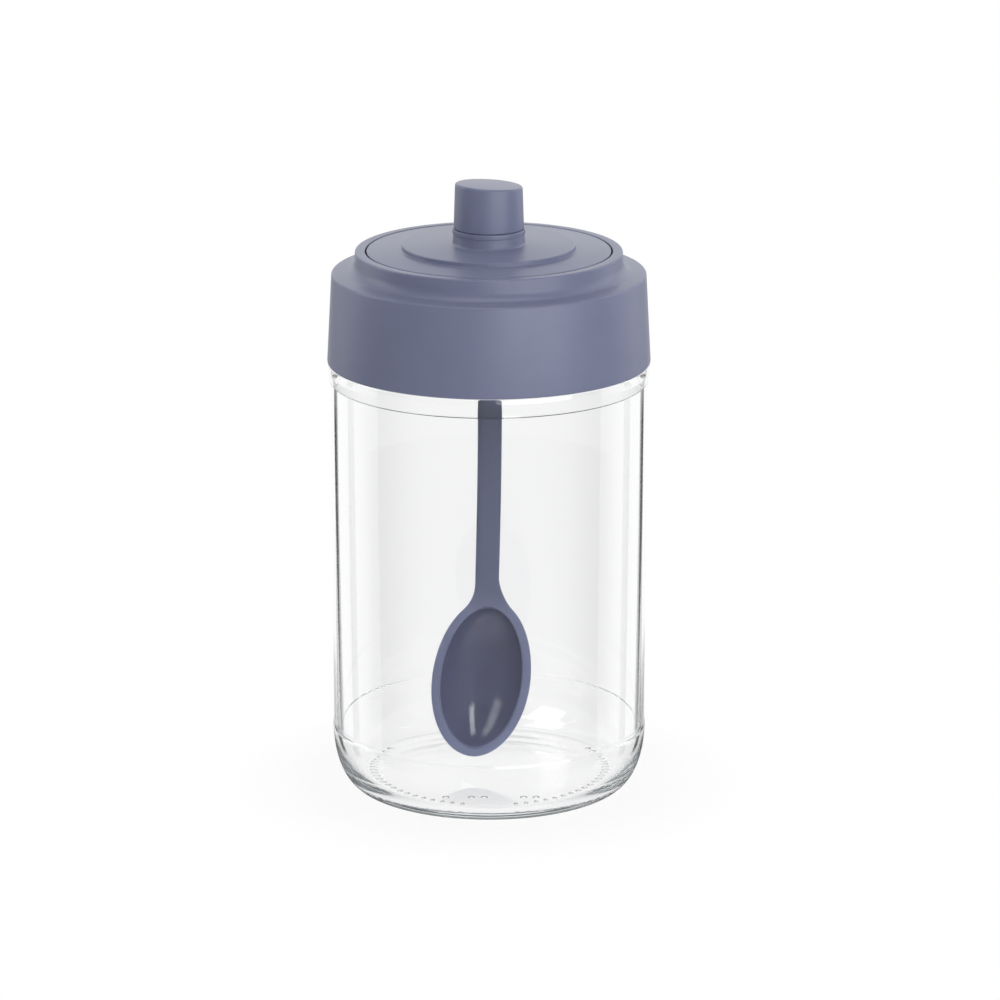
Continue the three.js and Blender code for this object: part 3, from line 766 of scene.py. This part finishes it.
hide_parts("knob")

# The spoon: one slate-blue moulding with a flat handle, whose end sits in the lid's
# socket. A flat flange runs round the bowl. The bowl is polished inside, the rest satin.
HANDLE_WIDTH, HANDLE_THICK = 0.0067, 0.0026
HANDLE_BOW, HANDLE_OFFSET = 0.0005, 0.00055
SPOON_EDGE = 0.0004
TIP_LEVEL, TANG_GAP = 0.0086, 0.0003
OVAL = (0.0140, 0.0238, 0.0223)  # half width, reach to the handle, reach to the tip
FLARE, FLARE_SHARE = 0.0094, 0.86
BOWL_SHIFT, BOWL_TILT, BOWL_LEAN = 0.00045, math.radians(8), math.radians(5.2)
BOWL_DEPTH, BOWL_WALL, BOWL_FULLNESS = 0.0084, 0.0015, 0.62
FLANGE_WIDTH, FLANGE_THICK, FLANGE_REVEAL = 0.00235, 0.0017, 0.0012
SECTION_STEPS, BOWL_STEPS, FLARE_STEPS, HANDLE_STEPS = 36, 72, 20, 40
TIP_STOP, LEAST_SPAN = 0.15, 0.4  # of a step before the tip, of a section's half width
POLISH_EDGE, PAINTED_LIGHT_BELOW = (0.02, 0.22), (0.058, 0.050)
# The bowl's much darker slate is partly the deeper colour of a polished face and mostly painted shade
# in the hollow of the bowl.
BOWL_GLOSS, BOWL_SHADE_SLATE = 0.13, (0.080, 0.087, 0.184, 1)
# The spoon's slate turns from a darker one at the handle to a paler one lower down: painted shade on
# the handle under the collar and lid, painted light on the flange and bowl.
SHADED_HANDLE_SLATE, FLANGE_LIT_SLATE = (0.146, 0.167, 0.296, 1), (0.214, 0.240, 0.420, 1)


def reach_at(oval, v):
    """The oval's reach on the handle's side, or on the tip's."""
    return oval[1] if v < 0 else oval[2]


def half_at(oval, v):
    return oval[0] * math.sqrt(max(0.0, 1 - (v / reach_at(oval, v)) ** 2))


def sunk_at(oval, x, v):
    """How far a bowl with that oval mouth is sunk, as a share of its depth."""
    across, along = (x / oval[0]) ** 2, (v / reach_at(oval, v)) ** 2
    return max(0.0, 1 - across - along) ** BOWL_FULLNESS


def bezier(a, b, c, t):
    return a * (1 - t) ** 2 + b * 2 * t * (1 - t) + c * t**2


def smooth_step(value, low, high):
    t = min(max((value - low) / (high - low), 0.0), 1.0)
    return t * t * (3 - 2 * t)


def spoon_stations():
    """The spoon's cross-sections, from the handle's end to the bowl's tip."""
    join = -OVAL[1] * FLARE_SHARE
    join_half = half_at(OVAL, join)
    slope = OVAL[0] ** 2 * -join / (OVAL[1] ** 2 * join_half)
    corner = join - (join_half - HANDLE_WIDTH / 2) / slope
    outline = []
    for k in range(FLARE_STEPS + 1):
        t = k / FLARE_STEPS
        v = bezier(join - FLARE, corner, join, t)
        outline.append((v, bezier(HANDLE_WIDTH / 2, HANDLE_WIDTH / 2, join_half, t)))
    start_angle = -math.asin(FLARE_SHARE)
    for k in range(BOWL_STEPS):
        angle = start_angle + (math.pi / 2 - start_angle) * (k + 1) / (BOWL_STEPS + TIP_STOP)
        v = math.sin(angle) * reach_at(OVAL, angle)
        outline.append((v, half_at(OVAL, v)))
    stations, y, z = [], 0.0, 0.0
    for i, (v, half) in enumerate(outline):
        share = smooth_step(v, join - FLARE, join)
        tilt = BOWL_TILT * share
        if i:
            step, mean = v - outline[i - 1][0], (tilt + stations[-1]["tilt"]) / 2
            y, z = y - step * math.sin(mean), z - step * math.cos(mean)
        stations.append({"v": v, "half": half, "share": share, "tilt": tilt, "y": y, "z": z})
    neck = TIP_LEVEL - z
    handle_length = SOCKET_FOOT - neck
    start = stations[0]["v"]

    def bowed(level):
        t = min(max((SOCKET_FOOT - level) / handle_length, 0.0), 1.0)
        return HANDLE_BOW * math.sin(math.pi * t) - HANDLE_OFFSET * t

    for station in stations:
        along = BOWL_SHIFT - math.tan(BOWL_LEAN) * (station["v"] - start)
        station["x"] = bowed(neck) + (along - bowed(neck)) * station["share"]
        station["z"] += neck
    levels = [SOCKET_FOOT - handle_length * k / HANDLE_STEPS for k in range(HANDLE_STEPS)]
    levels.insert(0, SLOT_TOP - TANG_GAP)
    plain = {"v": start, "half": HANDLE_WIDTH / 2, "share": 0.0, "tilt": 0.0, "y": 0.0}
    handle = [{**plain, "z": level, "x": bowed(level) if i else 0.0} for i, level in enumerate(levels)]
    return handle + stations


def spoon_section(station):
    """One ring of points (place, polish), front face first."""
    half, v = station["half"], station["v"]
    thick = HANDLE_THICK + (FLANGE_THICK - HANDLE_THICK) * station["share"]
    edge = min(SPOON_EDGE, half / 3)

    def across(inset):
        oval = tuple(reach - inset for reach in OVAL)
        span = max(half_at(oval, v), half * LEAST_SPAN)
        inner = [span * math.cos(math.pi * k / SECTION_STEPS) for k in range(SECTION_STEPS + 1)]
        return oval, inner

    cavity, inside = across(FLANGE_WIDTH)
    shell, outside = across(FLANGE_WIDTH - FLANGE_REVEAL)
    deep = BOWL_DEPTH + BOWL_WALL - thick
    ring = [(half - edge, 0.0, 0)]
    for x in inside:
        sunk = sunk_at(cavity, x, v)
        ring.append((x, BOWL_DEPTH * sunk, smooth_step(sunk, *POLISH_EDGE)))
    ring += [(edge - half, 0.0, 0)]
    rounding = [(math.sin(t), 1 - math.cos(t)) for t in (math.pi / 8, math.pi / 4, 3 * math.pi / 8)]
    left = [(edge - half - edge * s, edge * c, 0) for s, c in rounding]
    ring += left + [(-half, edge, 0), (-half, thick - edge, 0)]
    ring += [(x, thick - d, 0) for x, d, _ in reversed(left)]
    ring += [(edge - half, thick, 0)]
    ring += [(-x, thick + deep * sunk_at(shell, x, v), 0) for x in outside]
    ring += [(half - edge, thick, 0)]
    ring += [(-x, thick - d, 0) for x, d, _ in left]
    ring += [(half, thick - edge, 0), (half, edge, 0)]
    ring += [(-x, d, 0) for x, d, _ in reversed(left)]
    places = []
    for x, depth, polish in ring:
        y = station["y"] - HANDLE_THICK / 2 + depth * math.cos(station["tilt"])
        z = station["z"] - depth * math.sin(station["tilt"])
        places.append(((station["x"] + x, y, z), polish))
    return places


def lofted(name, rings):
    """A closed solid through rings of points, all with as many, and flat ends."""
    size, places, faces = len(rings[0]), [], []
    for ring in rings:
        places += ring
    for j in range(len(rings) - 1):
        for i in range(size):
            a, b = j * size + i, j * size + (i + 1) % size
            faces.append((a, b, b + size, a + size))
    last = size * (len(rings) - 1)
    faces.append(tuple(reversed(range(size))))
    faces.append(tuple(range(last, last + size)))
    mesh = bpy.data.meshes.new(name)
    mesh.from_pydata([p for p, _ in places], [], faces)
    polish = mesh.attributes.new("polish", "FLOAT", "POINT")
    polish.data.foreach_set("value", [share for _, share in places])
    return set_down(name, mesh)


def between(tree, share, first, second):
    """A value between two."""
    return place(tree, "ShaderNodeMix", {0: share, 2: first, 3: second}).outputs[0]


spoon = lofted("spoon_moulding", [spoon_section(station) for station in spoon_stations()])
spoon_slate, spoon_tree, spoon_surface = slate_plastic("Spoon moulding", pigment=SHADED_HANDLE_SLATE)
polish = place(spoon_tree, "ShaderNodeAttribute", attribute_name="polish").outputs["Fac"]
satin = spoon_surface.inputs["Roughness"].links[0].from_socket
roughness = between(spoon_tree, polish, satin, BOWL_GLOSS)
spoon_tree.links.new(roughness, spoon_surface.inputs["Roughness"])
relief = spoon_surface.inputs["Normal"].links[0].from_node.inputs["Height"]
grained = maths(spoon_tree, "SUBTRACT", 1.0, polish)
spoon_tree.links.new(maths(spoon_tree, "MULTIPLY", relief.links[0].from_socket, grained), relief)
pigment = spoon_surface.inputs["Base Color"].links[0].from_socket
# Painted light and shade: by height, the spoon is darker at the handle and paler at the flange and
# bowl.
place_on_spoon = place(spoon_tree, "ShaderNodeTexCoord").outputs["Object"]
height_on_spoon = place(spoon_tree, "ShaderNodeSeparateXYZ", {0: place_on_spoon}).outputs[2]
painted_light_share = ramp(spoon_tree, height_on_spoon, *PAINTED_LIGHT_BELOW)
painted_light_tone = tinted(spoon_tree, painted_light_share, pigment, FLANGE_LIT_SLATE)
# In the polished bowl the colour is much darker: partly a polished face's deeper colour, mostly
# painted shade in the hollow.
painted_bowl_shade = tinted(spoon_tree, polish, painted_light_tone, BOWL_SHADE_SLATE)
spoon_tree.links.new(painted_bowl_shade, spoon_surface.inputs["Base Color"])
spoon.data.materials.append(spoon_slate)
smoothed(spoon)
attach(spoon, "lid")
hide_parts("spoon")

# The table, the screens and the lamps. The table is pale, and white to the eye but for the
# jar's soft shadow. White screens stand behind the jar and the room in front of it is dim.
# Narrow dark gaps in the screens, mirrored by the glass wall and inside it, draw its sides.
TABLE_SIZE, TABLE_LEVEL, TABLE_WHITE = 8.0, -0.0002, (0.80, 0.80, 0.80, 1)
SHADE_START, SHADE_END, SHADE_VEIL = 0.045, 0.080, 0.90
GAP_PERIOD, GAP_DROP, GAP_HEIGHT = math.radians(45), 0.26, (0.12, 0.20)
WALL_GAP, OUTER_GAP = (31.5, 4.4, 0.8), (30.0, 4.4, 1.0)  # bearing, half width, edge
# How bright it is in a direction: between which two values of it, and from what to what.
BEHIND, BEHIND_EDGE = (-0.05, -0.45), (-0.80, -0.70)
ROOM, ROOM_INSIDE = (0.10, 0.50, 0.0, 0.15), (0.05, 0.75, 0.0, 0.45)
TOP, TOP_INSIDE = (0.50, 0.90, 1.0, 0.3), (0.30, 0.50, 1.0, 0.25)
TABLE_INSIDE, TABLE_FOOT = (-0.40, -0.55, 0.0, 0.9), (-0.85, -0.93, 0.0, 0.9)
HORIZON, STRAIGHT_DOWN = (-0.34, -0.29, 0.05, 1.0), (-0.99, -0.93, 0.85, 1.0)
TURNED_OFTEN, TRAPPED, UPWARD = 0.95, 0.62, -0.1
AMBIENT = 0.345
LAMP_DISTANCE, LAMP_AIM = 1.3, 0.11


def table():
    mesh = bpy.data.meshes.new("table")
    s, z = TABLE_SIZE / 2, TABLE_LEVEL
    mesh.from_pydata([(-s, -s, z), (s, -s, z), (s, s, z), (-s, s, z)], [], [(0, 1, 2, 3)])
    made = set_down("table", mesh)
    shader = {"Base Color": TABLE_WHITE, "Roughness": 0.9}
    paint, tree, surface, target = material("White table", shader)
    where = place(tree, "ShaderNodeTexCoord").outputs["Object"]
    out = place(tree, "ShaderNodeVectorMath", {0: where}, operation="LENGTH").outputs["Value"]
    white = place(tree, "ShaderNodeEmission", {"Strength": 1.0}).outputs[0]
    share = ramp(tree, out, SHADE_START, SHADE_END, SHADE_VEIL, 1.0)
    veil = place(tree, "ShaderNodeMixShader", {0: share, 1: surface.outputs[0], 2: white})
    to_eye = place(tree, "ShaderNodeLightPath").outputs["Is Camera Ray"]
    either = {0: to_eye, 1: surface.outputs[0], 2: veil.outputs[0]}
    tree.links.new(place(tree, "ShaderNodeMixShader", either).outputs[0], target.inputs["Surface"])
    mesh.materials.append(paint)
    made.visible_transmission = made.visible_glossy = False


def surroundings():
    world = bpy.data.worlds.new("White screens")
    world.use_nodes = True
    tree = world.node_tree
    tree.nodes.clear()
    path = place(tree, "ShaderNodeLightPath").outputs
    way = place(tree, "ShaderNodeTexCoord").outputs["Generated"]
    x, y, z = place(tree, "ShaderNodeSeparateXYZ", {0: way}).outputs

    def both(first, second):
        return maths(tree, "MULTIPLY", first, second)

    def brighter(first, second):
        return maths(tree, "MAXIMUM", first, second)

    def rest_of(share):
        return maths(tree, "SUBTRACT", 1.0, share)

    def at_least(depth, times):
        return maths(tree, "GREATER_THAN", path[depth], times - 0.5)

    # The dark gaps stand on both sides of each main direction, a little below eye level.
    bearing = maths(tree, "PINGPONG", maths(tree, "ARCTAN2", x, y), GAP_PERIOD)
    above = maths(tree, "ABSOLUTE", maths(tree, "ADD", z, GAP_DROP))
    level = ramp(tree, above, *GAP_HEIGHT, 1.0, 0.0)
    gaps = []
    for centre, half, edge in (WALL_GAP, OUTER_GAP):
        off = maths(tree, "ABSOLUTE", maths(tree, "SUBTRACT", bearing, math.radians(centre)))
        gap = ramp(tree, off, math.radians(half + edge), math.radians(half - edge))
        gaps.append(rest_of(both(gap, level)))
    # Mirrored: bright behind the jar, dim at its sides and in front of it, and less dim from
    # inside the glass. The outer face also mirrors a gap far behind.
    to_front = maths(tree, "DIVIDE", maths(tree, "MULTIPLY", y, -1.0), from_axis(tree, x, y))
    inside = at_least("Transmission Depth", 1)
    whole = brighter(gaps[1], brighter(inside, ramp(tree, to_front, *BEHIND_EDGE)))
    behind = both(ramp(tree, to_front, *BEHIND), whole)
    walled = maths(tree, "COMPARE", path["Transmission Depth"], 2.0, 0.5)
    near_wall = both(ramp(tree, to_front, *ROOM_INSIDE), maths(tree, "ADD", walled, 1.0))
    facing = between(tree, inside, ramp(tree, to_front, *ROOM), near_wall)
    low = between(tree, inside, ramp(tree, z, *TOP), ramp(tree, z, *TOP_INSIDE))
    level_light = both(brighter(behind, facing), low)
    table_white = both(ramp(tree, z, *TABLE_INSIDE), inside)
    steep = brighter(inside, ramp(tree, z, *TABLE_FOOT))
    foot_dark = brighter(ramp(tree, z, *HORIZON), steep)
    once = both(brighter(level_light, table_white), foot_dark)
    # Rays turned back three times, or through five faces and not downwards, see an even
    # white, and those turned back six times an even grey.
    far_up = both(at_least("Transmission Depth", 5), maths(tree, "GREATER_THAN", z, UPWARD))
    lit = brighter(at_least("Glossy Depth", 3), far_up)
    spread = between(tree, at_least("Glossy Depth", 6), TURNED_OFTEN, TRAPPED)
    reflected = between(tree, lit, once, spread)
    # A ray that grazes the wall is turned back once inside it, and sees the screens and
    # their gap on its way to the back.
    mirrored = at_least("Glossy Depth", 1)
    just_once = both(mirrored, maths(tree, "LESS_THAN", path["Glossy Depth"], 1.5))
    grazing = both(both(walled, maths(tree, "LESS_THAN", to_front, 0.0)), just_once)
    edge_line = brighter(gaps[0], rest_of(grazing))
    through = both(edge_line, ramp(tree, z, *STRAIGHT_DOWN))
    shown = between(tree, maths(tree, "SUBTRACT", mirrored, grazing), through, reflected)
    # Plain surfaces are lit evenly, and get nothing more by way of the glass.
    bounced = at_least("Diffuse Depth", 1)
    plain = both(rest_of(both(path["Is Transmission Ray"], bounced)), AMBIENT)
    sharp = brighter(path["Is Glossy Ray"], path["Is Transmission Ray"])
    mixed = between(tree, both(sharp, rest_of(bounced)), plain, shown)
    strength = between(tree, path["Is Camera Ray"], mixed, 1.0)
    background = place(tree, "ShaderNodeBackground", {"Color": (1, 1, 1, 1), "Strength": strength})
    place(tree, "ShaderNodeOutputWorld", {"Surface": background.outputs[0]})
    bpy.context.scene.world = world


def lamp(name, bearing, rise, size, power, for_bowl=False):
    """An area lamp at a bearing from the front, to the right, and a rise, both in degrees."""
    data = bpy.data.lights.new(name, "AREA")
    data.shape, data.size, data.size_y, data.energy = "RECTANGLE", size[0], size[1], power
    made = set_down(name, data)
    b, r = math.radians(bearing), math.radians(rise)
    way = Vector((math.sin(b) * math.cos(r), -math.cos(b) * math.cos(r), math.sin(r)))
    made.location = Vector((0, 0, LAMP_AIM)) + way * LAMP_DISTANCE
    made.rotation_euler = (-way).to_track_quat("-Z", "Y").to_euler()
    made.visible_transmission = for_bowl
    made.visible_glossy = made.visible_diffuse = not for_bowl


table()
surroundings()
lamp("key_softbox", 32, 8, (1.4, 0.9), 11.2)
lamp("left_softbox", -105, 20, (0.5, 1.0), 3.4)
lamp("right_softbox", 115, 20, (0.5, 1.0), 1.8)
lamp("top_softbox", 0, 88, (0.8, 0.8), 4.2)
lamp("back_softbox", 180, 17, (1.6, 0.5), 1.4)
# Two strips that only the polished bowl mirrors, through the glass.
lamp("right_strip", 18, 44, (0.30, 1.2), 9.0, for_bowl=True)
lamp("left_strip", -56, 39, (0.58, 1.2), 7.4, for_bowl=True)

# The camera looks 15.3 degrees down from about a metre and a half away, at a point half
# way up the jar, which stands a little off the middle of the frame.
CAMERA_TARGET, CAMERA_DISTANCE, CAMERA_ELEVATION = 0.088, 1.480, math.radians(15.3)
FRAME_WIDTHS, FRAME_PIXELS = 5.2546, 1000
OFF_CENTRE = (11.0, 19.38)  # pixels from the frame's middle to the jar's axis and target


def camera():
    data = bpy.data.cameras.new("camera")
    data.lens = data.sensor_width * FRAME_WIDTHS
    made = set_down("camera", data)
    c, s = math.cos(CAMERA_ELEVATION), math.sin(CAMERA_ELEVATION)
    made.location = (0, -CAMERA_DISTANCE * c, CAMERA_TARGET + CAMERA_DISTANCE * s)
    per_pixel = CAMERA_DISTANCE / (FRAME_WIDTHS * FRAME_PIXELS)
    aim = Vector((OFF_CENTRE[0] * per_pixel, 0, CAMERA_TARGET - OFF_CENTRE[1] * per_pixel / c))
    made.rotation_euler = (aim - made.location).to_track_quat("-Z", "Y").to_euler()
    bpy.context.scene.camera = made


camera()
bpy.context.scene.view_settings.view_transform = "Standard"
# Light turns back many times in the thick glass of the heel before it leaves.
light_paths = bpy.context.scene.cycles
light_paths.max_bounces, light_paths.transmission_bounces, light_paths.glossy_bounces = 64, 48, 48
